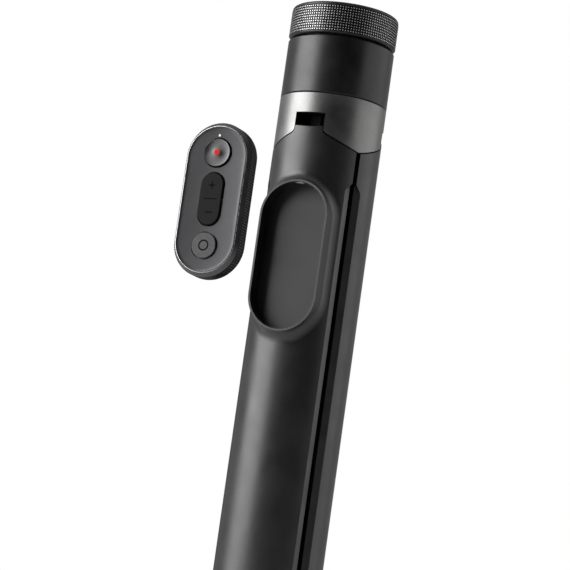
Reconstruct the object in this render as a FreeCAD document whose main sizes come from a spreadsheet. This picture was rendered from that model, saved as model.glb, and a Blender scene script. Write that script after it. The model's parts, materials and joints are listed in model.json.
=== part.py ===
"""Tripod selfie stick: three folding legs around a telescoping mast, with a detachable remote.

Millimetres, +Z up, origin on the stick's axis at the bottom of its feet. The leg that carries
the remote's cradle faces -Y. The remote is off its cradle, in front of it.
"""

import FreeCAD, Part
import math
import os
import re
import Sketcher

SIZES = {
    # the round body and its levels
    "body_radius": 21.0,
    "shell_wall": 2.1,
    "wheel_bottom": 287.2,
    "wheel_top": 300.0,
    "knurl_rise": 0.2,
    "collar_top": 286.3,
    "seam_height": 263.0,
    "seam_gap": 0.3,
    "edge_break": 0.4,
    # how far the cutting tools reach, inside and outside the body and the remote
    "near_reach": 5.0,
    "far_reach": 30.0,
    "remote_behind": 80.0,
    "remote_ahead": 99.0,
    # the hub with its three windows and hinges
    "hinge_distance": 17.8,
    "hinge_height": 245.2,
    "barrel_radius": 5.28,
    "inner_barrel_radius": 4.6,
    "pin_radius": 1.0,
    "pin_half_length": 7.0,
    "pin_clearance": 0.06,
    "eye_radius": 1.95,
    "lug_half_width": 2.0,
    "slot_half_width": 2.3,
    "slot_reach": 19.95,
    "window_half_width": 6.15,
    "window_top": 255.2,
    "pocket_half_width": 6.4,
    "core_bottom": 249.6,
    "relief_radius": 20.6,
    "relief_half_width": 10.5,
    # the legs
    "tab_half_width": 5.85,
    "neck_height": 247.3,
    "neck_fillet": 2.5,
    "shoulder_half_width": 17.55,
    "shoulder_height": 242.0,
    "shoulder_overrun": 1.5,
    "shoulder_fall": 0.68,
    "shoulder_gap": 0.5,
    "leg_inner_radius": 14.2,
    "leg_bottom": 10.0,
    "groove_half_width": 1.0,
    "groove_top": 229.7,
    "bevel_level": 19.74,
    "bevel_slope": 0.335,
    "bevel_reach": 6.0,
    "foot_edge_break": 0.9,
    "hollow_bottom": 14.0,
    "hollow_top": 160.0,
    "cover_radius": 15.7,
    "cover_half_angle": 40.0,
    "skin_radius": 18.8,
    # the remote's cradle on the front leg
    "cradle_height": 198.05,
    "cradle_half_width": 14.1,
    "cradle_half_length": 29.75,
    "cradle_wall": 0.8,
    "cradle_rim": 23.2,
    "cradle_floor_level": 16.5,
    "cradle_floor_sheet": 0.5,
    "cradle_back": 14.9,
    "cradle_fillet": 5.0,
    "magnet_radius": 4.0,
    "magnet_sheet": 1.0,
    "magnet_spread": 17.0,
    "latch_half_width": 1.65,
    "latch_back": 20.0,
    "latch_front": 21.0,
    # the mast's tubes
    "tube_radius": 12.5,
    "tube_wall": 0.9,
    "tube_bottom": 12.0,
    "tube_top": 285.0,
    "stage_radius": 11.2,
    "stage_step": 1.2,
    "stage_wall": 0.6,
    "stage_bottom": 16.0,
    "bush_length": 9.0,
    "ferrule_length": 8.0,
    "running_gap": 0.05,
    # the head on top of the mast
    "stud_radius": 3.175,
    "stud_top": 303.4,
    "stud_shank_radius": 4.0,
    "stud_bottom": 258.0,
    "head_plug_radius": 5.8,
    "head_plug_bottom": 262.0,
    "head_neck_radius": 6.4,
    "head_skirt_radius": 18.4,
    "head_flange_top": 290.2,
    "head_flange_radius": 15.0,
    "washer_top": 290.7,
    "pad_top": 298.7,
    # the remote control
    "remote_half_width": 12.86,
    "remote_half_length": 28.62,
    "remote_face": 96.07,
    "remote_back": 88.07,
    "remote_height": 203.1,
    "remote_bevel": 1.93,
    "remote_wall": 1.1,
    "plate_half_width": 11.6,
    "plate_half_length": 27.0,
    "plate_sheet": 0.8,
    "button_proud": 0.3,
    "button_gap": 0.4,
    "record_radius": 5.2,
    "record_offset": 17.2,
    "dot_radius": 1.15,
    "flange_overlap": 0.65,
    "mode_radius": 4.85,
    "rocker_half_width": 4.35,
    "rocker_half_length": 9.75,
    "rocker_pin_radius": 0.5,
    "lens_radius": 0.42,
    "lens_offset": 23.55,
    "screw_offset": 25.6,
    "board_face": 92.9,
    "board_sheet": 0.8,
    "cell_radius": 10.0,
    "cell_sheet": 2.5,
}

LEG_ANGLES = {1: 0.0, 2: 120.0, 3: 240.0}
X_AXIS = FreeCAD.Vector(1, 0, 0)
Z_AXIS = FreeCAD.Vector(0, 0, 1)
UPRIGHT = FreeCAD.Rotation(X_AXIS, 90)

document = FreeCAD.newDocument("selfie_stick")
sheet = document.addObject("Spreadsheet::Sheet", "sizes")
for row, (alias, number) in enumerate(SIZES.items(), start=1):
    sheet.set(f"A{row}", alias)
    sheet.set(f"B{row}", str(number))
    sheet.setAlias(f"B{row}", alias)
document.recompute()

subparts = []


def linked(text):
    """Write an expression of the sheet's aliases the way another object reads it."""
    return re.sub(r"[a-z_]{3,}", lambda m: "sizes." + m[0] if m[0] in SIZES else m[0], str(text))


def number(text):
    """Work an expression of the sheet's aliases out now."""
    return float(sheet.evalExpression(str(text)))


def bind(part, prop, text):
    part.setExpression(prop, linked(text))


def keep(part, label):
    """Say that an object of the document is a finished sub-part."""
    part.Label = label
    subparts.append(part)
    return part


def turn(part, angle):
    """Turn a finished object about the stick's axis."""
    part.Placement = FreeCAD.Placement(FreeCAD.Vector(), FreeCAD.Rotation(Z_AXIS, angle))
    return part


def cylinder(radius, low, high):
    """An upright cylinder on the stick's axis."""
    part = document.addObject("Part::Cylinder", "round")
    bind(part, "Radius", radius)
    bind(part, "Height", f"({high}) - ({low})")
    bind(part, "Placement.Base.z", low)
    return part


def cross_cylinder(radius, half_length, distance, height):
    """A cylinder along X, in front of the stick's axis."""
    part = document.addObject("Part::Cylinder", "cross_round")
    part.Placement.Rotation = FreeCAD.Rotation(FreeCAD.Vector(0, 1, 0), 90)
    bind(part, "Radius", radius)
    bind(part, "Height", f"2 * ({half_length})")
    bind(part, "Placement.Base.x", f"-({half_length})")
    bind(part, "Placement.Base.y", f"-({distance})")
    bind(part, "Placement.Base.z", height)
    return part


def front_cylinder(radius, near, far, height, aside="0"):
    """A cylinder along Y, from one distance in front of the axis to another."""
    part = document.addObject("Part::Cylinder", "front_round")
    part.Placement.Rotation = UPRIGHT
    bind(part, "Radius", radius)
    bind(part, "Height", f"({far}) - ({near})")
    bind(part, "Placement.Base.x", aside)
    bind(part, "Placement.Base.y", f"-({near})")
    bind(part, "Placement.Base.z", height)
    return part


def block(half_width, near, far, low, high):
    """A box in front of the axis, centred across X."""
    part = document.addObject("Part::Box", "block")
    bind(part, "Length", f"2 * ({half_width})")
    bind(part, "Width", f"({far}) - ({near})")
    bind(part, "Height", f"({high}) - ({low})")
    bind(part, "Placement.Base.x", f"-({half_width})")
    bind(part, "Placement.Base.y", f"-({far})")
    bind(part, "Placement.Base.z", low)
    return part


def wedge(half_angle, radius, low, high):
    """A sector of a cylinder, centred on -Y."""
    part = cylinder(radius, low, high)
    bind(part, "Angle", f"2 * ({half_angle})")
    part.Placement.Rotation = FreeCAD.Rotation(Z_AXIS, -90 - number(half_angle))
    return part


def outline(points):
    """A closed sketch of straight lines in the XZ plane, every point bound to the sheet."""
    sketch = document.addObject("Sketcher::SketchObject", "outline")
    sketch.Placement = FreeCAD.Placement(FreeCAD.Vector(), UPRIGHT)
    draw(sketch, points)
    return sketch


def draw(sketch, points):
    """Join points into a closed outline whose coordinates are expressions."""
    places = [FreeCAD.Vector(number(across), number(up), 0) for across, up in points]
    for start, end in zip(places, places[1:] + places[:1]):
        sketch.addGeometry(Part.LineSegment(start, end))
    for index in range(len(places)):
        following = (index + 1) % len(places)
        sketch.addConstraint(Sketcher.Constraint("Coincident", index, 2, following, 1))
    for index, (across, up) in enumerate(points):
        for kind, text in (("DistanceX", across), ("DistanceY", up)):
            entry = sketch.addConstraint(Sketcher.Constraint(kind, -1, 1, index, 1, number(text)))
            bind(sketch, f"Constraints[{entry}]", text)


def prism(sketch, near, far):
    """A sketch in the XZ plane, extruded along -Y between two distances."""
    part = document.addObject("Part::Extrusion", "prism")
    part.Base = sketch
    part.DirMode = "Normal"
    part.Solid = True
    bind(part, "LengthFwd", far)
    bind(part, "LengthRev", f"-({near})")
    return part


def side_prism(points, half_width):
    """An outline of distance and height, extruded across X to both sides."""
    sketch = document.addObject("Sketcher::SketchObject", "side_outline")
    draw(sketch, [(f"-({distance})", height) for distance, height in points])
    facing_x = FreeCAD.Rotation(FreeCAD.Vector(0, 1, 0), FreeCAD.Vector(0, 0, 1), X_AXIS, "XYZ")
    sketch.Placement = FreeCAD.Placement(FreeCAD.Vector(), facing_x)
    part = document.addObject("Part::Extrusion", "side_prism")
    part.Base = sketch
    part.DirMode = "Normal"
    part.Solid = True
    part.Symmetric = True
    bind(part, "LengthFwd", f"2 * ({half_width})")
    return part


def stadium(half_width, half_length, near, far, height):
    """A round-ended plate that stands upright in front of the axis."""
    straight = f"(({half_length}) - ({half_width}))"
    middle = block(half_width, near, far, f"{height} - {straight}", f"{height} + {straight}")
    upper = front_cylinder(half_width, near, far, f"{height} + {straight}")
    lower = front_cylinder(half_width, near, far, f"{height} - {straight}")
    return fuse(middle, upper, lower)


def fuse(*parts):
    part = document.addObject("Part::MultiFuse", "union")
    part.Shapes = list(parts)
    part.Refine = True
    return part


def cut(base, *tools):
    part = document.addObject("Part::Cut", "cut")
    part.Base = base
    part.Tool = tools[0] if len(tools) == 1 else fuse(*tools)
    return part


def common(*parts):
    part = document.addObject("Part::MultiCommon", "shared")
    part.Shapes = list(parts)
    return part


def copies(source, angles):
    """The same tool again at other angles about the stick's axis."""
    document.recompute()
    group = []
    for angle in angles:
        part = document.addObject("Part::Feature", "copy")
        part.Shape = source.Shape.rotated(FreeCAD.Vector(), Z_AXIS, angle)
        group.append(part)
    return group


def edges_where(part, test):
    """The numbers of the edges whose middle point passes a test."""
    document.recompute()
    found = []
    for index, edge in enumerate(part.Shape.Edges, start=1):
        if test(edge, edge.valueAt((edge.FirstParameter + edge.LastParameter) / 2)):
            found.append(index)
    return found


def rounded(part, size, test):
    rounds = document.addObject("Part::Fillet", "rounded")
    rounds.Base = part
    rounds.Edges = [(index, number(size), number(size)) for index in edges_where(part, test)]
    return rounds


def bevelled(part, size, test):
    bevel = document.addObject("Part::Chamfer", "bevelled")
    bevel.Base = part
    bevel.Edges = [(index, number(size), number(size)) for index in edges_where(part, test)]
    return bevel


def turned(label, profile):
    """A piece turned on a lathe: a half section of radius and height, spun about the axis."""
    body = document.addObject("PartDesign::Body", label)
    sketch = body.newObject("Sketcher::SketchObject", label + "_section")
    planes = [plane for plane in body.Origin.OriginFeatures if plane.Role == "XZ_Plane"]
    sketch.AttachmentSupport = (planes[0], [""])
    sketch.MapMode = "FlatFace"
    draw(sketch, profile)
    spin = body.newObject("PartDesign::Revolution", label + "_spin")
    spin.Profile = sketch
    spin.ReferenceAxis = (sketch, ["V_Axis"])
    spin.Angle = 360
    body.Tip = spin
    return keep(body, label)


def ring(label, inner, outer, low, high):
    """A plain ring or tube."""
    return turned(label, [(inner, low), (outer, low), (outer, high), (inner, high)])


def build_collar():
    """The dark sleeve under the head wheel, with a lid that closes on the core tube."""
    turned("collar_shell", [
        ("body_radius - shell_wall", "seam_height + seam_gap"),
        ("body_radius - edge_break", "seam_height + seam_gap"),
        ("body_radius", "seam_height + seam_gap + edge_break"),
        ("body_radius", "collar_top - edge_break"),
        ("body_radius - edge_break", "collar_top"),
        ("tube_radius", "collar_top"),
        ("tube_radius", "collar_top - 1.8"),
        ("body_radius - shell_wall", "collar_top - 1.8"),
    ])
    ring("collar_liner", "tube_radius", "body_radius - shell_wall",
         "seam_height + seam_gap", "collar_top - 2.4")


def leg_profile(side, neck, top, raised):
    """The bottle neck outline that a leg and its opening in the hub share."""
    return outline([
        (f"-({side})", top),
        (f"-({side})", f"{neck} + {raised}"),
        ("-shoulder_half_width - shoulder_overrun", f"shoulder_height - shoulder_fall + {raised}"),
        ("-shoulder_half_width - shoulder_overrun", "leg_bottom"),
        ("shoulder_half_width + shoulder_overrun", "leg_bottom"),
        ("shoulder_half_width + shoulder_overrun", f"shoulder_height - shoulder_fall + {raised}"),
        (side, f"{neck} + {raised}"),
        (side, top),
    ])


def at_neck(edge, middle):
    """An edge along Y where a neck's side meets its shoulder."""
    level = number("neck_height")
    return edge.BoundBox.YLength > 3 and 5 < abs(middle.x) < 7 and abs(middle.z - level) < 1


def build_hub():
    """The light ring with a window for each leg, and the moulded core with the hinge lugs."""
    opening = prism(leg_profile("window_half_width", "neck_height", "window_top", "shoulder_gap"),
                    "near_reach", "far_reach")
    opening = rounded(opening, "neck_fillet - 0.4", at_neck)
    opening = common(opening, wedge("60", "far_reach", "leg_bottom", "seam_height"))
    relief_top = "core_bottom + 0.4"
    relief = common(
        block("relief_half_width", "near_reach", "far_reach", "leg_bottom", relief_top),
        cylinder("relief_radius", "leg_bottom", relief_top))
    sleeve = cut(cylinder("body_radius", "shoulder_height - 1", "seam_height"),
                 cylinder("body_radius - shell_wall", "0", "seam_height + 1"))
    tools = copies(opening, LEG_ANGLES.values()) + copies(relief, LEG_ANGLES.values())
    keep(cut(sleeve, *tools), "hub_ring")

    core = cut(cylinder("body_radius - shell_wall", "core_bottom", "seam_height"),
               cylinder("tube_radius", "0", "seam_height + 1"))
    pocket = block("pocket_half_width", "near_reach", "far_reach", "0", "window_top")
    lug_plate = side_prism([
        ("tube_radius + 0.1", "hinge_height - 1.4"),
        ("hinge_distance - 0.2", "hinge_height - eye_radius + 0.01"),
        ("hinge_distance + 1", "hinge_height + 1.66"),
        ("leg_inner_radius", "core_bottom - 0.3"),
        ("leg_inner_radius", "window_top + 0.5"),
        ("tube_radius + 0.1", "window_top + 0.5"),
    ], "lug_half_width")
    eye = cross_cylinder("eye_radius", "lug_half_width", "hinge_distance", "hinge_height")
    bore = cross_cylinder("pin_radius + pin_clearance", "5", "hinge_distance", "hinge_height")
    lug = cut(fuse(lug_plate, eye), bore)
    pockets = copies(pocket, LEG_ANGLES.values())
    keep(fuse(cut(core, *pockets), *copies(lug, LEG_ANGLES.values())), "hub_core")


def side_gaps():
    """The narrow gaps that part the front leg from its neighbours."""
    gap = block("groove_half_width", "1", "far_reach", "-1", "seam_height")
    return copies(gap, (60.0, -60.0))


def edge_grooves():
    """Wide shallow grooves over the gaps, for a fingertip: they bevel the legs' long edges."""
    inner, outer = "groove_half_width", "(groove_half_width + bevel_reach)"
    rise = "(bevel_level + bevel_reach * bevel_slope)"
    sketch = document.addObject("Sketcher::SketchObject", "groove_section")
    draw(sketch, [(f"-{outer}", f"-{rise}"), (f"-{inner}", "-bevel_level"), (inner, "-bevel_level"),
                  (outer, f"-{rise}"), (outer, "-far_reach"), (f"-{outer}", "-far_reach")])
    groove = document.addObject("Part::Extrusion", "groove")
    groove.Base = sketch
    groove.DirMode = "Normal"
    groove.Solid = True
    bind(groove, "LengthFwd", "groove_top")
    bind(groove, "LengthRev", "1")
    ends = prism(outline([
        (f"-{outer}", "-1"), (outer, "-1"), (outer, f"groove_top - {outer}"),
        (inner, "groove_top"), (f"-{inner}", "groove_top"), (f"-{outer}", f"groove_top - {outer}"),
    ]), "near_reach", "far_reach")
    return copies(common(groove, ends), (60.0, -60.0))


def leg_blank():
    """The front leg before its cradle: a curved shell with the hinge tab at its top."""
    sector = cut(cylinder("body_radius", "leg_bottom", "seam_height"),
                 cylinder("leg_inner_radius", "0", "seam_height + 1"))
    profile = prism(leg_profile("tab_half_width", "neck_height", "window_top", "0"),
                    "near_reach", "far_reach")
    profile = rounded(profile, "neck_fillet", at_neck)
    blank = common(sector, profile, wedge("60", "far_reach", "0", "seam_height"))
    blank = cut(blank, *side_gaps(), *edge_grooves())

    outer_corner = cut(
        block("pocket_half_width - 0.2", "hinge_distance - 0.4", "far_reach", "hinge_height",
              "seam_height"),
        cross_cylinder("barrel_radius", "8", "hinge_distance", "hinge_height"))
    inner_corner = cut(
        block("pocket_half_width - 0.2", "near_reach", "hinge_distance - 0.4", "hinge_height",
              "seam_height"),
        cross_cylinder("inner_barrel_radius", "8", "hinge_distance", "hinge_height"))
    lug_slot = block("slot_half_width", "near_reach", "slot_reach", "hinge_height - 2.4",
                     "seam_height")
    bore = cross_cylinder("pin_radius", "pin_half_length", "hinge_distance", "hinge_height")
    hollow = cut(wedge("cover_half_angle", "skin_radius", "hollow_bottom", "hollow_top"),
                 cylinder("near_reach", "0", "wheel_top"))
    return cut(blank, outer_corner, inner_corner, lug_slot, bore, hollow)


def with_cradle(blank):
    """Raise the remote's cradle on a leg and sink its pocket."""
    boss = stadium("cradle_half_width", "cradle_half_length", "cradle_back", "cradle_rim",
                   "cradle_height")
    raised = fuse(blank, boss)

    def at_foot(edge, middle):
        """An edge where the boss grows out of the leg's round outside."""
        aside, above = abs(middle.x), abs(middle.z - number("cradle_height"))
        on_leg = abs(math.hypot(aside, middle.y) - number("body_radius")) < 0.02
        on_side = abs(aside - number("cradle_half_width")) < 0.02
        on_end = above > number("cradle_half_length - cradle_half_width")
        within = above < number("cradle_half_length") + 1 and aside < number("cradle_half_width") + 0.1
        return on_leg and within and (on_side or on_end) and middle.y < 0

    blended = rounded(raised, "cradle_fillet", at_foot)
    width = "cradle_half_width - cradle_wall"
    length = "cradle_half_length - cradle_wall"
    sheet_back = "cradle_floor_level - cradle_floor_sheet"
    pocket = stadium(width, length, sheet_back, "far_reach", "cradle_height")
    magnets = [front_cylinder("magnet_radius", f"{sheet_back} - magnet_sheet", "cradle_rim",
                              f"cradle_height + {side} * magnet_spread") for side in (-1, 1)]
    latch = block("latch_half_width", "latch_back", "latch_front", "cradle_height + 28",
                  "cradle_height + cradle_half_length")
    return cut(blended, pocket, *magnets, latch)


def build_legs():
    """Three folding legs, each with its inner cover, foot and hinge pin."""
    blank = leg_blank()
    for leg, angle in LEG_ANGLES.items():
        shell = with_cradle(blank) if leg == 1 else copies(blank, (0.0,))[0]
        keep(turn(shell, angle), f"leg_{leg}_shell")

        cover = cut(wedge("cover_half_angle", "cover_radius", "hollow_bottom", "hollow_top"),
                    cylinder("leg_inner_radius", "0", "wheel_top"))
        keep(turn(cover, angle), f"leg_{leg}_cover")

        pad = cut(wedge("60", "body_radius", "0", "leg_bottom"),
                  cylinder("leg_inner_radius", "-1", "wheel_top"))
        pad = cut(pad, *side_gaps(), *edge_grooves())

        def lower_rim(edge, middle):
            on_rim = math.hypot(middle.x, middle.y) > number("body_radius") - 0.05
            return on_rim and middle.z < 0.01

        keep(turn(bevelled(pad, "foot_edge_break", lower_rim), angle), f"leg_{leg}_foot")
        pin = cross_cylinder("pin_radius", "pin_half_length", "hinge_distance", "hinge_height")
        keep(copies(pin, (angle,))[0], f"leg_{leg}_pin")


def build_cradle_fittings():
    """The floor sheet of the cradle, the magnets under it and the spring latch above."""
    sheet_back = "cradle_floor_level - cradle_floor_sheet"
    keep(stadium("cradle_half_width - cradle_wall", "cradle_half_length - cradle_wall",
                 sheet_back, "cradle_floor_level", "cradle_height"), "cradle_floor")
    pair = [front_cylinder("magnet_radius", f"{sheet_back} - magnet_sheet", sheet_back,
                           f"cradle_height + {side} * magnet_spread") for side in (-1, 1)]
    keep(fuse(*pair), "cradle_magnets")
    keep(block("latch_half_width", "latch_back", "latch_front", "cradle_height + 28.75",
               "cradle_height + cradle_half_length"), "cradle_latch")


def build_mast():
    """The core tube and five stages that slide out of it, with their bushes and ferrules."""
    bore = "tube_radius - tube_wall"
    ring("core_tube", bore, "tube_radius", "tube_bottom", "tube_top")
    turned("core_cap", [
        ("0", "0"), ("tube_radius - edge_break", "0"), ("tube_radius", "edge_break"),
        ("tube_radius", "tube_bottom"), (bore, "tube_bottom"), (bore, "stage_bottom - 0.5"),
        ("0", "stage_bottom - 0.5"),
    ])
    ring("core_ferrule", "stage_radius + running_gap", bore, "tube_top - ferrule_length", "tube_top")
    for stage in range(1, 6):
        outer = f"(stage_radius - {stage - 1} * stage_step)"
        inner = f"({outer} - stage_wall)"
        holder = bore if stage == 1 else f"({outer} + stage_step - stage_wall)"
        ring(f"mast_stage_{stage}", inner, outer, "stage_bottom", "tube_top")
        ring(f"stage_{stage}_bush", outer, f"{holder} - running_gap", "stage_bottom",
             "stage_bottom + bush_length")
        if stage < 5:
            ring(f"stage_{stage}_ferrule", f"{outer} - stage_step + running_gap", inner,
                 "tube_top - ferrule_length", "tube_top")


def build_head():
    """The core fixed in the innermost tube, and the knurled wheel that turns its stud."""
    shank = "stud_shank_radius + running_gap"
    turned("head_core", [
        (shank, "head_plug_bottom"), ("head_plug_radius", "head_plug_bottom"),
        ("head_plug_radius", "tube_top"), ("head_neck_radius", "tube_top"),
        ("head_neck_radius", "collar_top + 0.1"), ("head_skirt_radius", "collar_top + 0.1"),
        ("head_skirt_radius", "wheel_bottom - 0.1"), ("head_flange_radius", "wheel_bottom - 0.1"),
        ("head_flange_radius", "head_flange_top"),
        (shank, "head_flange_top"),
    ])
    ring("head_washer", shank, "head_flange_radius - 1", "head_flange_top", "washer_top")
    gap = "0.1"
    turned("head_wheel", [
        ("head_flange_radius + 1.5", "wheel_bottom"),
        ("body_radius - 1", "wheel_bottom"),
        ("body_radius - 0.1", "wheel_bottom + 0.9"),
        ("body_radius + knurl_rise", "wheel_bottom + 1.2"),
        ("body_radius + knurl_rise", "wheel_top - 1.4"),
        ("body_radius - 0.2", "wheel_top - 1.0"),
        ("body_radius - 0.5", "wheel_top - 0.4"),
        ("body_radius - 1.1", "wheel_top"),
        ("body_radius - 2.2", "wheel_top"),
        ("body_radius - 2.6", "wheel_top - 0.5"),
        ("body_radius - 2.6", "pad_top - 2.2"),
        ("stud_shank_radius", "pad_top - 2.2"),
        ("stud_shank_radius", f"washer_top + {gap}"),
        ("head_flange_radius + 1.5", f"washer_top + {gap}"),
    ])
    turned("head_pad", [
        ("stud_radius + 1.5", "pad_top - 2.2"), ("body_radius - 2.6", "pad_top - 2.2"),
        ("body_radius - 2.6", "pad_top - 0.3"), ("body_radius - 2.9", "pad_top"),
        ("stud_radius + 1.8", "pad_top"), ("stud_radius + 1.5", "pad_top - 0.3"),
    ])
    turned("head_stud", [
        ("0", "stud_bottom"), ("3.2", "stud_bottom"), ("3.2", "stud_bottom + 1.5"),
        ("2.6", "stud_bottom + 1.5"), ("2.6", "stud_bottom + 2.5"), ("3.2", "stud_bottom + 2.5"),
        ("stud_shank_radius", "head_plug_bottom"), ("stud_shank_radius", "pad_top"),
        ("stud_radius", "pad_top"), ("stud_radius", "stud_top - 0.5"),
        ("stud_radius - 0.5", "stud_top"), ("0", "stud_top"),
    ])
    ring("stud_clip", "2.6", "5.3", "stud_bottom + 1.6", "stud_bottom + 2.4")


def build_remote_case():
    """The remote's back shell, bevelled frame, face plate and the ring seal between them."""
    width, length, height = "remote_half_width", "remote_half_length", "remote_height"
    front = "remote_face - remote_bevel"
    wall = "remote_wall"
    shell = stadium(width, length, "remote_back", f"{front} - 0.3", height)
    room = stadium(f"{width} - {wall}", f"{length} - {wall}", "remote_back + 1", "remote_face", height)
    screw_holes = [front_cylinder("0.8", "remote_behind", "remote_ahead",
                                  f"{height} + {side} * screw_offset") for side in (-1, 1)]
    head_holes = [front_cylinder("1.5", "remote_behind", "remote_back + 0.6",
                                 f"{height} + {side} * screw_offset") for side in (-1, 1)]
    shell = cut(shell, room, *screw_holes, *head_holes)

    straight = number(f"{length} - {width}")

    def back_rim(edge, middle):
        across = math.hypot(middle.x, max(abs(middle.z - number(height)) - straight, 0))
        return abs(middle.y + number("remote_back")) < 0.01 and across > number(width) - 0.4

    keep(bevelled(shell, "0.8", back_rim), "remote_back_shell")

    frame = stadium(width, length, front, "remote_face", height)

    def front_rim(edge, middle):
        return abs(middle.y + number("remote_face")) < 0.01

    frame = bevelled(frame, "remote_bevel - 0.02", front_rim)
    bed = stadium("plate_half_width", "plate_half_length", "remote_face - plate_sheet",
                  "remote_ahead", height)
    hole = stadium("plate_half_width - 1.2", "plate_half_length - 1.2", "remote_behind",
                   "remote_ahead", height)
    frame = cut(frame, bed, hole)
    keep(frame, "remote_bezel")

    gasket = cut(stadium(f"{width} - 0.35", f"{length} - 0.35", f"{front} - 0.3", front, height),
                 stadium(f"{width} - 0.95", f"{length} - 0.95", "remote_behind",
                         "remote_ahead", height))
    keep(gasket, "remote_seal")

    plate = stadium("plate_half_width - 0.06", "plate_half_length - 0.06",
                    "remote_face - plate_sheet", "remote_face - 0.05", height)
    openings = [
        front_cylinder(radius, "remote_behind", "remote_ahead", f"{height} + {shift}")
        for radius, shift in (("record_radius + button_gap", "record_offset"),
                              ("mode_radius + button_gap", "-record_offset"),
                              ("lens_radius", "lens_offset"))]
    openings.append(stadium("rocker_half_width + button_gap", "rocker_half_length + button_gap",
                            "remote_behind", "remote_ahead", height))
    keep(cut(plate, *openings), "remote_face_plate")
    keep(front_cylinder("lens_radius", "remote_face - 1.6", "remote_face", f"{height} + lens_offset"),
         "led_lens")


def round_button(label, radius, height):
    """A round button: its cap, a flange that keeps it behind the plate, and its stem."""
    under = "remote_face - plate_sheet - 0.1"
    cap = front_cylinder(radius, under, "remote_face + button_proud", height)

    def cap_rim(edge, middle):
        return abs(middle.y + number("remote_face + button_proud")) < 0.01

    cap = bevelled(cap, "0.25", cap_rim)
    flange = front_cylinder(f"{radius} + flange_overlap", f"{under} - 0.5", under, height)
    stem = front_cylinder("1.2", "board_face + 1.4", f"{under} - 0.5", height)
    return fuse(cap, flange, stem)


def build_remote_buttons():
    """Record button with its red centre, zoom rocker on its pin, and mode button."""
    high, low = "remote_height + record_offset", "remote_height - record_offset"
    dot_bed = front_cylinder("dot_radius", "remote_face + button_proud - 0.4", "remote_ahead", high)
    keep(cut(round_button("record_button", "record_radius", high), dot_bed), "record_button")
    keep(front_cylinder("dot_radius", "remote_face + button_proud - 0.4", "remote_face + button_proud",
                        high), "record_dot")
    keep(round_button("mode_button", "mode_radius", low), "mode_button")

    face = "remote_face + button_proud"
    rocker = stadium("rocker_half_width", "rocker_half_length", f"{face} - 2.55", face,
                     "remote_height")

    def face_rim(edge, middle):
        return abs(middle.y + number(face)) < 0.01

    rocker = bevelled(rocker, "0.3", face_rim)
    axle_level = f"{face} - 1.7"
    bore = cross_cylinder("rocker_pin_radius + pin_clearance", "9", axle_level, "remote_height")
    keep(cut(rocker, bore), "zoom_rocker")
    keep(cross_cylinder("rocker_pin_radius", "rocker_half_width + 3", axle_level, "remote_height"),
         "rocker_pin")


def build_remote_inside():
    """Board, key domes, coin cell, its clip, the steel sheet for the magnets, and screws."""
    height = "remote_height"
    back = "board_face - board_sheet"
    keep(stadium("9.5", "22.5", back, "board_face", height), "remote_board")
    domes = [front_cylinder("2.4", "board_face", "board_face + 0.6", f"{height} + {shift}")
             for shift in ("record_offset", "5.5", "-5.5", "-record_offset")]
    keep(fuse(*domes), "key_domes")
    keep(front_cylinder("cell_radius", f"{back} - 0.1 - cell_sheet", f"{back} - 0.1", height),
         "coin_cell")
    clip = cut(block("2", f"{back} - 0.1 - cell_sheet", back, f"{height} + cell_radius - 0.5",
                     f"{height} + cell_radius + 1.2"),
               front_cylinder("cell_radius", "remote_behind", "remote_ahead", height))
    keep(clip, "cell_clip")
    keep(stadium("9", "21", "remote_back + 1", "remote_back + 1.3", height), "remote_steel_sheet")
    screws = []
    for side in (-1, 1):
        level = f"{height} + {side} * screw_offset"
        head = front_cylinder("1.4", "remote_back", "remote_back + 0.6", level)
        shank = front_cylinder("0.75", "remote_back + 0.6", "remote_face - remote_bevel", level)
        screws.append(fuse(head, shank))
    keep(fuse(*screws), "remote_screws")


def check():
    """Stop unless every object computed and every sub-part is a good solid."""
    document.recompute()
    for part in document.Objects:
        if {"Invalid", "Error"} & set(part.State):
            raise RuntimeError(f"{part.Label} failed: {part.State}")
    for part in subparts:
        if part.Shape.isNull() or not part.Shape.isValid() or not part.Shape.Solids:
            raise RuntimeError(f"{part.Label} is not a valid solid")


def write():
    """Write each sub-part to its own file."""
    os.makedirs("parts", exist_ok=True)
    for part in subparts:
        part.Shape.exportStep(f"parts/{part.Label}.step")
        print(f"{part.Label}: {len(part.Shape.Solids)} solid(s), {part.Shape.Volume:.1f} mm3")


build_collar()
build_hub()
build_legs()
build_cradle_fittings()
build_mast()
build_head()
build_remote_case()
build_remote_buttons()
build_remote_inside()
check()
write()
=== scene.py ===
import json
import math

import bmesh
import bpy
from mathutils import Matrix, Vector


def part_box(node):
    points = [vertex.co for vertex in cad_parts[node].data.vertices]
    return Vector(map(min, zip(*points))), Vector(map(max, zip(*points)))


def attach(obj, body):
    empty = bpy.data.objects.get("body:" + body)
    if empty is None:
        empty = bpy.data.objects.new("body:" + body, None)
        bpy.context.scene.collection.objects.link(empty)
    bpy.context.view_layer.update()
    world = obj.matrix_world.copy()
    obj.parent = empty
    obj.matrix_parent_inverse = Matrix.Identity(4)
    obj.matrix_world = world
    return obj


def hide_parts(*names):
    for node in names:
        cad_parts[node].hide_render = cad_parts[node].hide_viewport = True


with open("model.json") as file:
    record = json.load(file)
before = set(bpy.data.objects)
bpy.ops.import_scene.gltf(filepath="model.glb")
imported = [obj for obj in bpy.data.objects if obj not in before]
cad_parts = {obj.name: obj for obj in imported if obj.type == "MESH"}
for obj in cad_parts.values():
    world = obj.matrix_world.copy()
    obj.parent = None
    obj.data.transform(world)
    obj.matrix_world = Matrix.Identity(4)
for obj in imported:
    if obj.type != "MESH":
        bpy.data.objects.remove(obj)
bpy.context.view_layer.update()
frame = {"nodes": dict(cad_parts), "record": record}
nodes = frame["nodes"]

MM = 0.001
TURN = 2 * math.pi

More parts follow.
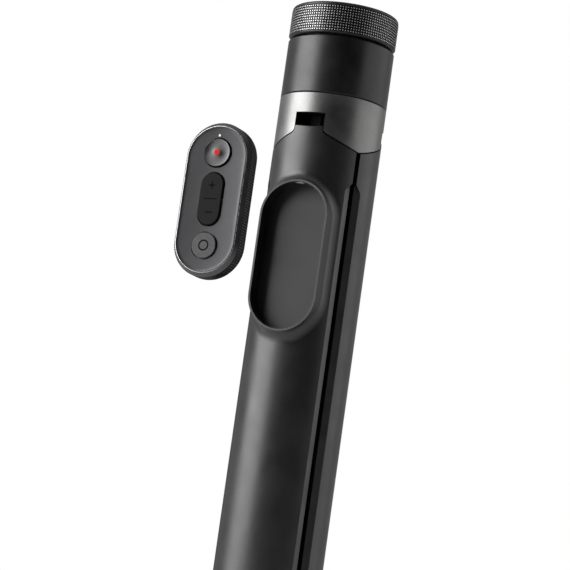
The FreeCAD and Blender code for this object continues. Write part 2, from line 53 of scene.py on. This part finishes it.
RECORD_RADIUS = 5.2 * MM
MODE_RADIUS = 4.85 * MM
KEY_GAP = 0.4 * MM


# ---------------------------------------------------------------- helpers for shapes

def middle(node):
    """The centre of a CAD node's box."""
    low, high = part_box(node)
    return (Vector(low) + Vector(high)) / 2


def add_mesh(name, verts, faces, body, sharp=35.0, place=(0, 0, 0)):
    """A new visible piece from points and faces, riding on a CAD body."""
    mesh = bpy.data.meshes.new(name)
    mesh.from_pydata([tuple(v) for v in verts], [], faces)
    mesh.validate()
    piece = bpy.data.objects.new(name, mesh)
    piece.location = place
    bpy.context.scene.collection.objects.link(piece)
    mesh.polygons.foreach_set("use_smooth", [True] * len(mesh.polygons))
    mesh.set_sharp_from_angle(angle=math.radians(sharp))
    mesh.update()
    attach(piece, body)
    return piece


def even(count):
    """Shares of a full turn, evenly spaced."""
    return [step / count for step in range(count)]


def lathe(profile, shares):
    """Points and faces of a closed half section of (radius, height) spun about +Z.

    shares are the stops of the turn from 0 to 1, and a radius may be a function of one.
    """
    verts = []
    segments = len(shares)
    for share in shares:
        angle = TURN * share
        for radius, height in profile:
            reach = radius(share) if callable(radius) else radius
            verts.append((reach * math.cos(angle), reach * math.sin(angle), height))
    count = len(profile)
    faces = []
    for step in range(segments):
        here = step * count
        there = (step + 1) % segments * count
        for index in range(count):
            after = (index + 1) % count
            faces.append((here + index, there + index, there + after, here + after))
    return verts, faces


def stadium_points(half_width, half_length, count, shift=None):
    """Points round an upright stadium in the XZ plane, evenly spaced, anticlockwise seen from -Y.

    shift gives how far out each point stands, from its place round the outline in metres.
    """
    straight = 2 * (half_length - half_width)
    bend = math.pi * half_width
    around = 2 * (straight + bend)
    points = []
    for index in range(count):
        along = around * index / count
        part = along % (straight + bend)
        side = 1 if along < straight + bend else -1
        if part < straight:
            base = Vector((half_width, 0, part - straight / 2))
            out = Vector((1, 0, 0))
        else:
            angle = (part - straight) / half_width
            out = Vector((math.cos(angle), 0, math.sin(angle)))
            base = out * half_width + Vector((0, 0, straight / 2))
        stand = shift(along / around) if shift else 0.0
        point = (base + out * stand) * side
        points.append(Vector((point.x, 0, point.z)))
    return points


def stadium_stack(layers, count):
    """A tube of stadium outlines: each layer is (half width, half length, depth, shift)."""
    verts = []
    for half_width, half_length, depth, shift in layers:
        for point in stadium_points(half_width, half_length, count, shift):
            verts.append((point.x, depth, point.z))
    faces = []
    for layer in range(len(layers) - 1):
        for index in range(count):
            after = (index + 1) % count
            low, high = layer * count, (layer + 1) * count
            faces.append((low + index, low + after, high + after, high + index))
    return verts, faces


def facing_front(verts):
    """Points of a shape spun about +Z, turned so that its axis runs along Y."""
    return [(x, z, y) for x, y, z in verts]


def cap(faces, start, count, flip=False):
    """Close one ring of points with a single face."""
    ring = list(range(start, start + count))
    faces.append(tuple(reversed(ring)) if flip else tuple(ring))


# ---------------------------------------------------------------- materials

def new_material(name, base, roughness, metallic=0.0, specular=0.5, coat=0.0, coat_rough=0.2):
    """A principled material with its plain values set; returns it with its shader."""
    material = bpy.data.materials.new(name)
    material.use_nodes = True
    shader = material.node_tree.nodes["Principled BSDF"]
    shader.inputs["Base Color"].default_value = (*base, 1)
    shader.inputs["Roughness"].default_value = roughness
    shader.inputs["Metallic"].default_value = metallic
    shader.inputs["Specular IOR Level"].default_value = specular
    shader.inputs["Coat Weight"].default_value = coat
    shader.inputs["Coat Roughness"].default_value = coat_rough
    return material, shader


def node(material, kind, **sockets):
    """A new shader node with some of its input values set."""
    made = material.node_tree.nodes.new(kind)
    for socket, value in sockets.items():
        made.inputs[socket.replace("_", " ")].default_value = value
    return made


def join(material, source, target):
    material.node_tree.links.new(source, target)


def noise(material, scale, detail=3.0, stretch=(1, 1, 1)):
    """Noise in the object's own metres, stretched along an axis."""
    place = node(material, "ShaderNodeTexCoord")
    mapping = node(material, "ShaderNodeMapping")
    mapping.inputs["Scale"].default_value = stretch
    join(material, place.outputs["Object"], mapping.inputs["Vector"])
    texture = node(material, "ShaderNodeTexNoise", Scale=scale, Detail=detail, Roughness=0.6)
    join(material, mapping.outputs["Vector"], texture.inputs["Vector"])
    return texture.outputs["Fac"]


def spread(material, fac, low, high):
    """Map noise from its usual middle range to a range of values."""
    ramp = node(material, "ShaderNodeMapRange")
    ramp.inputs["From Min"].default_value = 0.3
    ramp.inputs["From Max"].default_value = 0.7
    ramp.inputs["To Min"].default_value = low
    ramp.inputs["To Max"].default_value = high
    join(material, fac, ramp.inputs["Value"])
    return ramp.outputs["Result"]


def tint(material, shader, fac, dark, light):
    """Vary the base colour between two tones."""
    mix = node(material, "ShaderNodeMix")
    mix.data_type = "RGBA"
    mix.inputs[6].default_value = (*dark, 1)
    mix.inputs[7].default_value = (*light, 1)
    join(material, fac, mix.inputs[0])
    join(material, mix.outputs[2], shader.inputs["Base Color"])


def bump(material, shader, fac, height):
    """A bump of so many metres."""
    bumped = node(material, "ShaderNodeBump", Strength=1.0, Distance=height)
    join(material, fac, bumped.inputs["Height"])
    join(material, bumped.outputs["Normal"], shader.inputs["Normal"])


def satin(name, base, roughness, grain, height, metallic=0.0, specular=0.5, vary=0.06, tone=0.15):
    """Satin surface: fine grain in the bump, a slow change of gloss, and a slight mottle."""
    material, shader = new_material(name, base, roughness, metallic, specular)
    fine = noise(material, grain, 4.0)
    bump(material, shader, fine, height)
    slow = noise(material, 90.0, 3.0)
    join(material, spread(material, slow, roughness - vary, roughness + vary),
         shader.inputs["Roughness"])
    dark = [value * (1 - tone) for value in base]
    light = [value * (1 + tone) for value in base]
    mottle = noise(material, grain * 0.4, 2.0)
    tint(material, shader, spread(material, mottle, 0, 1), dark, light)
    return material


def brushed(name, base, roughness, stretch, metallic=1.0, height=2e-6):
    """Metal brushed or drawn along one direction."""
    material, shader = new_material(name, base, roughness, metallic)
    lines = noise(material, 900.0, 3.0, stretch)
    bump(material, shader, lines, height)
    join(material, spread(material, lines, roughness - 0.08, roughness + 0.1),
         shader.inputs["Roughness"])
    tint(material, shader, spread(material, lines, 0, 1),
         [value * 0.85 for value in base], [value * 1.12 for value in base])
    return material


MATERIALS = {
    "wheel": satin("wheel_black", (0.045, 0.045, 0.046), 0.40, 4000, 1.5e-6, 1.0),
    # painted highlight: the knurl's stud tops get a pale metal that stands in for the key light's
    # glints
    "stud_tops_painted_glint": satin("knurl_flats_painted_glint", (0.62, 0.62, 0.615), 0.50, 5000, 1.0e-6, 0.85),
    "collar": satin("collar_anodised", (0.050, 0.050, 0.051), 0.37, 9000, 1.2e-6, 1.0),
    "hub": satin("hub_gunmetal", (0.19, 0.19, 0.188), 0.38, 9000, 1.2e-6, 1.0),
    "leg": satin("leg_satin_black", (0.0025, 0.0025, 0.0027), 0.39, 2600, 1.6e-5, 0.0, 0.68,
                 0.05, 0.5),
    "inner": satin("moulded_black", (0.003, 0.003, 0.003), 0.65, 3000, 4e-6, 0.0, 0.12),
    "rubber": satin("foot_rubber", (0.010, 0.010, 0.010), 0.75, 2500, 8e-6, 0.0, 0.3),
    "tube": brushed("tube_anodised", (0.060, 0.060, 0.061), 0.38, (1, 1, 0.02), 0.9),
    "steel": brushed("brushed_steel", (0.55, 0.55, 0.54), 0.30, (1, 1, 1)),
    "magnet": brushed("magnet_plating", (0.62, 0.62, 0.60), 0.22, (1, 1, 1)),
    "cradle": satin("cradle_floor_grain", (0.0025, 0.0025, 0.0027), 0.46, 2600, 3.0e-5, 0.0, 0.5,
                    0.05, 0.5),
    "remote_side": satin("remote_side_black", (0.002, 0.002, 0.002), 0.5, 4000, 3e-6, 0.0, 0.28),
    "remote_frame": satin("remote_frame_satin", (0.090, 0.090, 0.091), 0.34, 8000, 1e-6, 1.0),
    "remote_face": satin("remote_face_satin", (0.052, 0.052, 0.054), 0.40, 8000, 1.5e-6, 1.0),
    "key": satin("key_matte_black", (0.003, 0.003, 0.003), 0.55, 5000, 4e-6, 0.0, 0.13),
    "key_light": satin("mode_key_satin", (0.065, 0.065, 0.065), 0.42, 6000, 2e-6, 1.0),
    "mark": satin("mark_black", (0.001, 0.001, 0.001), 0.6, 5000, 2e-6, 0.0, 0.05),
    "line": brushed("polished_line", (0.60, 0.60, 0.595), 0.28, (1, 1, 1), 1.0, 5e-7),
    "latch": brushed("latch_plating", (0.80, 0.80, 0.79), 0.42, (1, 1, 1)),
    "board": satin("board_green", (0.010, 0.060, 0.025), 0.4, 2500, 4e-6, 0.0, 0.5),
}


def spun_metal(name, base, roughness):
    """Metal faced on a lathe: fine rings about the piece's own centre."""
    material, shader = new_material(name, base, roughness, 1.0)
    place = node(material, "ShaderNodeTexCoord")
    flat = node(material, "ShaderNodeVectorMath")
    flat.operation = "MULTIPLY"
    flat.inputs[1].default_value = (1, 0, 1)
    join(material, place.outputs["Object"], flat.inputs[0])
    length = node(material, "ShaderNodeVectorMath")
    length.operation = "LENGTH"
    join(material, flat.outputs["Vector"], length.inputs[0])
    rings = node(material, "ShaderNodeTexNoise", Scale=5200.0, Detail=4.0, Roughness=0.7)
    rings.noise_dimensions = "1D"
    join(material, length.outputs["Value"], rings.inputs["W"])
    bump(material, shader, rings.outputs["Fac"], 1.0e-5)
    around = node(material, "ShaderNodeTangent")
    around.direction_type = "RADIAL"
    around.axis = "Y"
    join(material, around.outputs["Tangent"], shader.inputs["Tangent"])
    shader.inputs["Anisotropic"].default_value = 0.8
    tint(material, shader, spread(material, rings.outputs["Fac"], 0, 1),
         [value * 0.8 for value in base], [value * 1.2 for value in base])
    return material


def gloss(name, base):
    """Clear-coated moulded plastic with a faint ripple."""
    roughness = 0.12
    material, shader = new_material(name, base, roughness, coat=0.6, coat_rough=0.05)
    bump(material, shader, noise(material, 600.0, 2.0), 1e-6)
    slow = noise(material, 200.0, 2.0)
    join(material, spread(material, slow, roughness, roughness + 0.08), shader.inputs["Roughness"])
    return material


MATERIALS["spun"] = spun_metal("record_spun_metal", (0.075, 0.075, 0.075), 0.30)
MATERIALS["red"] = gloss("record_red", (0.55, 0.012, 0.008))
MATERIALS["white"] = gloss("lens_white", (0.95, 0.95, 0.93))


def paint(target, key):
    """Give every material slot of an object one finish."""
    if not target.material_slots:
        target.data.materials.append(MATERIALS[key])
    for holder in target.material_slots:
        holder.material = MATERIALS[key]


SLOT_FINISH = {
    "wheel_metal": "wheel", "collar_metal": "collar", "hub_metal": "hub", "inner_plastic": "inner",
    "leg_shell": "leg", "foot_rubber": "rubber", "pin_steel": "steel", "tube_metal": "tube",
    "cradle_sheet": "cradle", "magnet": "magnet", "head_rubber": "rubber",
    "remote_shell": "remote_side", "remote_frame": "remote_frame", "remote_face": "remote_face",
    "record_metal": "spun", "record_red": "red", "key_plastic": "key", "lens": "white",
    "board": "board", "cell_steel": "steel",
}


def paint_cad_nodes():
    """Give each CAD node the finish of its material slot."""
    for entry in frame["record"]["subparts"]:
        paint(nodes[entry["node"]], SLOT_FINISH[entry["material_slot"]])


# ---------------------------------------------------------------- the head wheel

KNURL_COLUMNS = 126
KNURL_ROWS = 10
KNURL_DEPTH = 0.42 * MM
CELL_STOPS = [0.0, 0.12, 0.32, 0.68, 0.88]
CELL_HEIGHTS = [0.0, 0.0, 1.0, 1.0, 0.0]


def cell_height(share, cells):
    """How high a groove's cross section stands, 0 to 1, at one of the cells' stops."""
    part = share * cells % 1
    nearest = min(range(len(CELL_STOPS)), key=lambda index: abs(CELL_STOPS[index] - part))
    return 0.0 if part > 0.95 else CELL_HEIGHTS[nearest]


def knurled_wheel():
    """The head wheel with a band of flat-topped square studs between two smooth rims; the stud tops
    carry a painted highlight.
    """
    low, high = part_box("head_wheel")
    tip = high[0]
    bottom, top = low[2], high[2]
    band_low, band_high = bottom + 0.85 * MM, top - 1.5 * MM
    pad_low, pad_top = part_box("head_pad")[0][2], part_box("head_pad")[1][2]
    pad_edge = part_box("head_pad")[1][0] + 0.02 * MM

    def band_radius(row_height):
        def radius(share):
            return tip - KNURL_DEPTH * (1 - min(row_height, cell_height(share, KNURL_COLUMNS)))
        return radius

    profile = [
        (tip - 4.6 * MM, bottom), (tip - 1.3 * MM, bottom), (tip - 0.95 * MM, bottom + 0.1 * MM),
        (tip - 0.5 * MM, bottom + 0.5 * MM), (tip - KNURL_DEPTH, band_low - 0.1 * MM),
    ]
    for row in range(KNURL_ROWS):
        for stop, rise in zip(CELL_STOPS, CELL_HEIGHTS):
            height = band_low + (band_high - band_low) * (row + stop) / KNURL_ROWS
            profile.append((band_radius(rise), height))
    profile += [
        (tip - KNURL_DEPTH, band_high),
        (tip - 0.16 * MM, band_high + 0.12 * MM), (tip - 0.1 * MM, band_high + 0.3 * MM),
        (tip - 0.2 * MM, top - 0.75 * MM), (tip - 0.45 * MM, top - 0.35 * MM),
        (tip - 0.85 * MM, top - 0.08 * MM), (tip - 1.3 * MM, top),
        (tip - 2.3 * MM, top), (tip - 2.65 * MM, top - 0.15 * MM),
        (pad_edge, pad_top), (pad_edge, pad_low), (tip - 12 * MM, pad_low),
        (tip - 12 * MM, pad_low - 3 * MM), (tip - 4.6 * MM, pad_low - 3 * MM),
    ]
    shares = [(column + stop) / KNURL_COLUMNS for column in range(KNURL_COLUMNS)
              for stop in CELL_STOPS]
    verts, faces = lathe(profile, shares)
    wheel = add_mesh("head_wheel_knurled", verts, faces, "head", 15.0)
    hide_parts("head_wheel")
    paint(wheel, "wheel")
    # painted highlight: the flat stud tops take the pale metal, lighter than the wheel, in place of the
    # key light's glints
    wheel.data.materials.append(MATERIALS["stud_tops_painted_glint"])
    for face in wheel.data.polygons:
        reach = math.hypot(face.center.x, face.center.y)
        if reach > tip - 0.05 * MM and band_low < face.center.z < band_high:
            face.material_index = 1


def head_stud():
    """The camera screw: a rolled thread above a plain shank."""
    low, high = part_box("head_stud")
    shank = high[0]
    crest = 3.175 * MM
    thread_depth = 0.62 * MM
    root = crest - thread_depth
    pitch = 1.27 * MM
    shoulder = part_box("head_pad")[1][2]
    per_turn = 48
    rows_per_pitch = 8
    rows = int((high[2] - shoulder) / pitch * rows_per_pitch)
    verts, faces = [], []
    for row in range(rows + 1):
        height = shoulder + (high[2] - shoulder) * row / rows
        for step in range(per_turn):
            angle = TURN * step / per_turn
            phase = ((height - shoulder) / pitch + step / per_turn) % 1
            ridge = min(1.0, max(0.0, (1 - abs(2 * phase - 1)) * 1.35 - 0.1))
            nearest_end = min(1.0, (high[2] - height) / (0.7 * MM))
            reach = root + (crest - root) * ridge * nearest_end
            verts.append((reach * math.cos(angle), reach * math.sin(angle), height))
    for row in range(rows):
        for step in range(per_turn):
            after = (step + 1) % per_turn
            faces.append((row * per_turn + step, row * per_turn + after,
                          (row + 1) * per_turn + after, (row + 1) * per_turn + step))
    cap(faces, rows * per_turn, per_turn)
    base = len(verts)
    neck_radius = 3.2 * MM
    neck_top = low[2] + 4 * MM
    levels = [(root, shoulder), (shank, shoulder), (shank, neck_top), (neck_radius, neck_top),
              (neck_radius, low[2])]
    for reach, height in levels:
        for step in range(per_turn):
            angle = TURN * step / per_turn
            verts.append((reach * math.cos(angle), reach * math.sin(angle), height))
    for level in range(len(levels) - 1):
        for step in range(per_turn):
            after = (step + 1) % per_turn
            near, far = base + level * per_turn, base + (level + 1) * per_turn
            faces.append((near + after, near + step, far + step, far + after))
    cap(faces, base + (len(levels) - 1) * per_turn, per_turn, flip=True)
    screw = add_mesh("head_screw", verts, faces, "head", 50.0)
    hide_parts("head_stud")
    paint(screw, "steel")


# ---------------------------------------------------------------- the remote

RIB_PITCH = 1.02 * MM


def ribbed_remote_case():
    """The remote's back shell: a flat back, a rounded edge and fine ribs round its side."""
    low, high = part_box("remote_back_shell")
    centre = middle("remote_back_shell")
    half_width = (high[0] - low[0]) / 2
    half_length = (high[2] - low[2]) / 2
    back, front = high[1], low[1]
    around = 4 * (half_length - half_width) + TURN * half_width
    ribs = round(around / RIB_PITCH)
    per_rib = 8
    count = ribs * per_rib
    depth = 0.5 * MM

    def rib(share):
        stop = round(share * count) % per_rib
        return 0.0 if stop < per_rib / 2 else -depth

    def plain(inset, level):
        return (half_width - inset, half_length - inset, level, None)

    def ribbed(level):
        return (half_width, half_length, level, rib)

    edge = 0.8 * MM
    layers = [plain(1.6 * MM, back), plain(edge + 0.1 * MM, back)]
    for step in range(1, 6):
        angle = math.pi / 2 * step / 6
        layers.append(plain(edge - edge * math.sin(angle) + 0.1 * MM,
                            back - edge * (1 - math.cos(angle))))
    layers += [plain(depth, back - edge), ribbed(back - edge - 0.25 * MM)]
    for step in range(1, 5):
        layers.append(ribbed(back - edge - 0.25 * MM + (front - back + edge + 0.5 * MM) * step / 4))
    layers += [plain(depth, front), plain(1.1 * MM, front), plain(1.1 * MM, back - 1.0 * MM),
               plain(1.6 * MM, back - 1.0 * MM)]
    verts, faces = stadium_stack(layers, count)
    cap(faces, 0, count, flip=True)
    cap(faces, (len(layers) - 1) * count, count)
    case = add_mesh("remote_case_ribbed", verts, faces, "remote", 35.0,
                    (centre.x, 0, centre.z))
    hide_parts("remote_back_shell")
    paint(case, "remote_side")


def face_line():
    """The thin polished line round the remote's face plate."""
    low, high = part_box("remote_face_plate")
    centre = middle("remote_face_plate")
    half_width = (high[0] - low[0]) / 2 + 0.02 * MM
    half_length = (high[2] - low[2]) / 2 + 0.02 * MM
    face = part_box("remote_bezel")[0][1]
    layers = []
    for out, level in ((0.0, 0.30), (0.0, 0.03), (0.05, 0.0), (0.17, 0.0), (0.22, 0.03), (0.22, 0.30)):
        layers.append((half_width + out * MM, half_length + out * MM, face + level * MM, None))
    verts, faces = stadium_stack(layers, 240)
    line = add_mesh("face_plate_line", verts, faces, "remote", 50.0,
                    (centre.x, 0, centre.z))
    paint(line, "line")


def pierce(piece, verts, faces, place):
    """Cut a closed shape out of a piece for good."""
    mesh = bpy.data.meshes.new("cutter")
    mesh.from_pydata([tuple(v) for v in verts], [], faces)
    tidy = bmesh.new()
    tidy.from_mesh(mesh)
    bmesh.ops.remove_doubles(tidy, verts=tidy.verts, dist=1e-7)
    bmesh.ops.recalc_face_normals(tidy, faces=tidy.faces)
    tidy.to_mesh(mesh)
    tidy.free()
    tool = bpy.data.objects.new("cutter", mesh)
    tool.location = place
    bpy.context.scene.collection.objects.link(tool)
    trim = piece.modifiers.new("opening", "BOOLEAN")
    trim.operation = "DIFFERENCE"
    trim.solver = "EXACT"
    trim.object = tool
    bpy.context.view_layer.update()
    result = bpy.data.meshes.new_from_object(piece.evaluated_get(bpy.context.evaluated_depsgraph_get()))
    piece.modifiers.remove(trim)
    piece.data = result
    bpy.data.objects.remove(tool)


def dished_face():
    """The remote's face plate: sunk a little, curving up at its edge, with its openings cut."""
    low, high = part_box("remote_face_plate")
    centre = middle("remote_face_plate")
    half_width = (high[0] - low[0]) / 2
    half_length = (high[2] - low[2]) / 2
    edge, back = low[1] - 0.03 * MM, high[1]
    layers = [(half_width - 2 * MM, half_length - 2 * MM, back, None),
              (half_width, half_length, back, None)]
    for inset, sink in ((0.0, 0.0), (0.12, 0.015), (0.3, 0.06), (0.5, 0.12), (0.72, 0.18), (1.0, 0.22)):
        layers.append((half_width - inset * MM, half_length - inset * MM, edge + sink * MM, None))
    flat = half_width - 1.0 * MM
    dish_steps = 12
    for step in range(1, dish_steps + 1):
        inset = 1.0 * MM + (flat - 0.3 * MM) * step / dish_steps
        remains = (half_width - inset) / flat
        sink = 0.22 + 0.36 * (1 - remains ** 2)
        layers.append((half_width - inset, half_length - inset, edge + sink * MM, None))
    count = 200
    verts, faces = stadium_stack(layers, count)
    cap(faces, 0, count, flip=True)
    cap(faces, (len(layers) - 1) * count, count)
    plate = add_mesh("remote_face_dished", verts, faces, "remote", 30.0,
                     (centre.x, 0, centre.z))
    near, far = edge - MM, back + MM
    lens_low, lens_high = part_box("led_lens")
    openings = {
        "record_button": RECORD_RADIUS + KEY_GAP,
        "mode_button": MODE_RADIUS + KEY_GAP,
        "led_lens": (lens_high[0] - lens_low[0]) / 2,
    }
    for key, radius in openings.items():
        verts, faces = lathe([(0.0, near), (radius, near), (radius, far), (0.0, far)], even(96))
        pierce(plate, facing_front(verts), faces, (centre.x, 0, middle(key).z))
    rocker_low, rocker_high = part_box("zoom_rocker")
    rocker_width = (rocker_high[0] - rocker_low[0]) / 2 + KEY_GAP
    rocker_length = (rocker_high[2] - rocker_low[2]) / 2 + KEY_GAP
    rocker_count = 120
    verts, faces = stadium_stack([(rocker_width, rocker_length, near, None),
                                  (rocker_width, rocker_length, far, None)], rocker_count)
    cap(faces, 0, rocker_count)
    cap(faces, rocker_count, rocker_count, flip=True)
    pierce(plate, verts, faces, (centre.x, 0, middle("zoom_rocker").z))
    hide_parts("remote_face_plate")
    paint(plate, "remote_face")


def record_cap():
    """The record button's cap: a spun face with a dished rim."""
    low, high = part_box("record_button")
    dot_low, dot_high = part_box("record_dot")
    centre = middle("record_dot")
    radius = RECORD_RADIUS
    hole = (dot_high[0] - dot_low[0]) / 2
    face = low[1]
    profile = [(hole, face + 0.4 * MM), (hole, face + 0.02 * MM), (hole + 0.15 * MM, face + 0.05 * MM),
               (radius - 0.55 * MM, face + 0.07 * MM), (radius - 0.35 * MM, face + 0.03 * MM),
               (radius - 0.2 * MM, face), (radius - 0.05 * MM, face + 0.08 * MM),
               (radius, face + 0.25 * MM), (radius, high[1]), (hole, high[1])]
    verts, faces = lathe(profile, even(96))
    cap_piece = add_mesh("record_cap", facing_front(verts), faces, "record_key",
                         30.0, (centre.x, 0, centre.z))
    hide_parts("record_button")
    paint(cap_piece, "spun")


def flat_bar(half_width, half_height, up=0.0):
    """The four corners of a thin bar."""
    return [(-half_width, up - half_height), (half_width, up - half_height),
            (half_width, up + half_height), (-half_width, up + half_height)]


def key_marks():
    """Plus, minus and the dividing line on the rocker, and the ring on the mode button."""
    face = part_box("zoom_rocker")[0][1]
    centre = middle("zoom_rocker")
    stand, sink = 0.02 * MM, 0.1 * MM
    thick, long, offset = 0.27 * MM, 1.35 * MM, 5.0 * MM
    bars = [flat_bar(2.4 * MM, 0.2 * MM), flat_bar(long, thick, offset),
            flat_bar(thick, long, offset), flat_bar(long, thick, -offset)]
    verts, faces = [], []
    for bar in bars:
        start = len(verts)
        verts += [(x, face - stand, z) for x, z in bar] + [(x, face + sink, z) for x, z in bar]
        faces.append((start, start + 1, start + 2, start + 3))
        for index in range(4):
            after = (index + 1) % 4
            faces.append((start + after, start + index, start + 4 + index, start + 4 + after))
        faces.append((start + 7, start + 6, start + 5, start + 4))
    marks = add_mesh("zoom_marks", verts, faces, "zoom_key", 30.0,
                     (centre.x, 0, centre.z))
    paint(marks, "mark")

    mode = middle("mode_button")
    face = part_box("mode_button")[0][1]
    inner, outer = 1.5 * MM, 2.05 * MM
    profile = [(inner, face + sink), (inner, face), (inner + 0.08 * MM, face - stand),
               (outer - 0.08 * MM, face - stand), (outer, face), (outer, face + sink)]
    verts, faces = lathe(profile, even(64))
    ring = add_mesh("mode_ring", facing_front(verts), faces, "mode_key", 30.0,
                    (mode.x, 0, mode.z))
    paint(ring, "mark")


# ---------------------------------------------------------------- studio

CAMERA_PLACE = Vector((0.4529, -1.0132, 0.01344))
CAMERA_AIM = Vector((-0.0081, -0.0037, 0.1896))
CAMERA_ROLL = math.radians(8.09)
LENS = 182.0
WORLD_RAMP = (-0.45, 0.7, 0.012, 0.40)
CEILING_RAMP = (0.6, 1.0, 0.0, 0.5)
CAMERA_AZIMUTH = math.degrees(math.atan2(CAMERA_PLACE.x, -CAMERA_PLACE.y))


def add_camera():
    """The camera, aimed at the object and rolled about its own line of sight."""
    forward = (CAMERA_AIM - CAMERA_PLACE).normalized()
    right = forward.cross(Vector((0, 0, 1))).normalized()
    up = right.cross(forward)
    tilted_right = right * math.cos(CAMERA_ROLL) + up * math.sin(CAMERA_ROLL)
    tilted_up = up * math.cos(CAMERA_ROLL) - right * math.sin(CAMERA_ROLL)
    camera = bpy.data.objects.new("camera", bpy.data.cameras.new("camera"))
    camera.data.lens = LENS
    camera.data.sensor_width = 36
    camera.data.clip_start = 0.01
    axes = Matrix((tilted_right, tilted_up, -forward)).transposed()
    camera.matrix_world = Matrix.Translation(CAMERA_PLACE) @ axes.to_4x4()
    bpy.context.scene.collection.objects.link(camera)
    bpy.context.scene.camera = camera


def add_light(name, azimuth, distance, height, size, power):
    """A soft box, placed by its azimuth from the camera's side (minus is left)."""
    aim_height = 0.2
    angle = math.radians(CAMERA_AZIMUTH + azimuth)
    place = Vector((distance * math.sin(angle), -distance * math.cos(angle), height))
    light = bpy.data.lights.new(name, "AREA")
    light.shape = "RECTANGLE"
    light.size, light.size_y = size
    light.energy = power
    lamp = bpy.data.objects.new(name, light)
    lamp.location = place
    lamp.rotation_euler = (Vector((0, 0, aim_height)) - place).to_track_quat("-Z", "Y").to_euler()
    bpy.context.scene.collection.objects.link(lamp)


def add_floor():
    """A plain pale floor."""
    size = 12.0
    verts = [(-size, -size, 0), (size, -size, 0), (size, size, 0), (-size, size, 0)]
    mesh = bpy.data.meshes.new("floor")
    mesh.from_pydata(verts, [], [(0, 1, 2, 3)])
    floor = bpy.data.objects.new("floor", mesh)
    bpy.context.scene.collection.objects.link(floor)
    material, shader = new_material("floor_pale", (0.8, 0.8, 0.8), 0.8)
    tint(material, shader, spread(material, noise(material, 3.0), 0, 1), (0.78, 0.78, 0.78),
         (0.82, 0.82, 0.82))
    floor.data.materials.append(material)


def smooth_ramp(tree, source, limits):
    """Map a value smoothly from one range to another: (from low, from high, to low, to high)."""
    ramp = tree.nodes.new("ShaderNodeMapRange")
    ramp.interpolation_type = "SMOOTHSTEP"
    for socket, value in zip(("From Min", "From Max", "To Min", "To Max"), limits):
        ramp.inputs[socket].default_value = value
    tree.links.new(source, ramp.inputs["Value"])
    return ramp.outputs["Result"]


def add_world():
    """White for the eye; for the lighting, dark round the camera and brighter behind."""
    world = bpy.data.worlds.new("studio")
    bpy.context.scene.world = world
    world.use_nodes = True
    tree = world.node_tree
    tree.nodes.clear()
    seen = tree.nodes.new("ShaderNodeBackground")
    seen.inputs["Color"].default_value = (1, 1, 1, 1)
    seen.inputs["Strength"].default_value = 1.0
    place = tree.nodes.new("ShaderNodeTexCoord")
    facing = tree.nodes.new("ShaderNodeVectorMath")
    facing.operation = "DOT_PRODUCT"
    away = (CAMERA_AIM - CAMERA_PLACE).normalized()
    facing.inputs[1].default_value = away
    tree.links.new(place.outputs["Generated"], facing.inputs[0])
    split = tree.nodes.new("ShaderNodeSeparateXYZ")
    tree.links.new(place.outputs["Generated"], split.inputs[0])
    total = tree.nodes.new("ShaderNodeMath")
    total.operation = "ADD"
    tree.links.new(smooth_ramp(tree, facing.outputs["Value"], WORLD_RAMP), total.inputs[0])
    tree.links.new(smooth_ramp(tree, split.outputs["Z"], CEILING_RAMP), total.inputs[1])
    lighting = tree.nodes.new("ShaderNodeBackground")
    lighting.inputs["Color"].default_value = (1, 1, 1, 1)
    tree.links.new(total.outputs["Value"], lighting.inputs["Strength"])
    path = tree.nodes.new("ShaderNodeLightPath")
    mix = tree.nodes.new("ShaderNodeMixShader")
    out = tree.nodes.new("ShaderNodeOutputWorld")
    tree.links.new(path.outputs["Is Camera Ray"], mix.inputs["Fac"])
    tree.links.new(lighting.outputs["Background"], mix.inputs[1])
    tree.links.new(seen.outputs["Background"], mix.inputs[2])
    tree.links.new(mix.outputs["Shader"], out.inputs["Surface"])


add_camera()
add_world()
add_floor()
add_light("key_left", -77, 0.9, 0.52, (0.86, 0.9), 15)
add_light("fill_right", 88, 1.1, 0.62, (1.5, 1.1), 5.2)
bpy.context.scene.view_settings.view_transform = "Standard"

paint_cad_nodes()
paint(nodes["mode_button"], "key_light")
paint(nodes["cradle_latch"], "latch")
knurled_wheel()
head_stud()
ribbed_remote_case()
dished_face()
face_line()
record_cap()
key_marks()
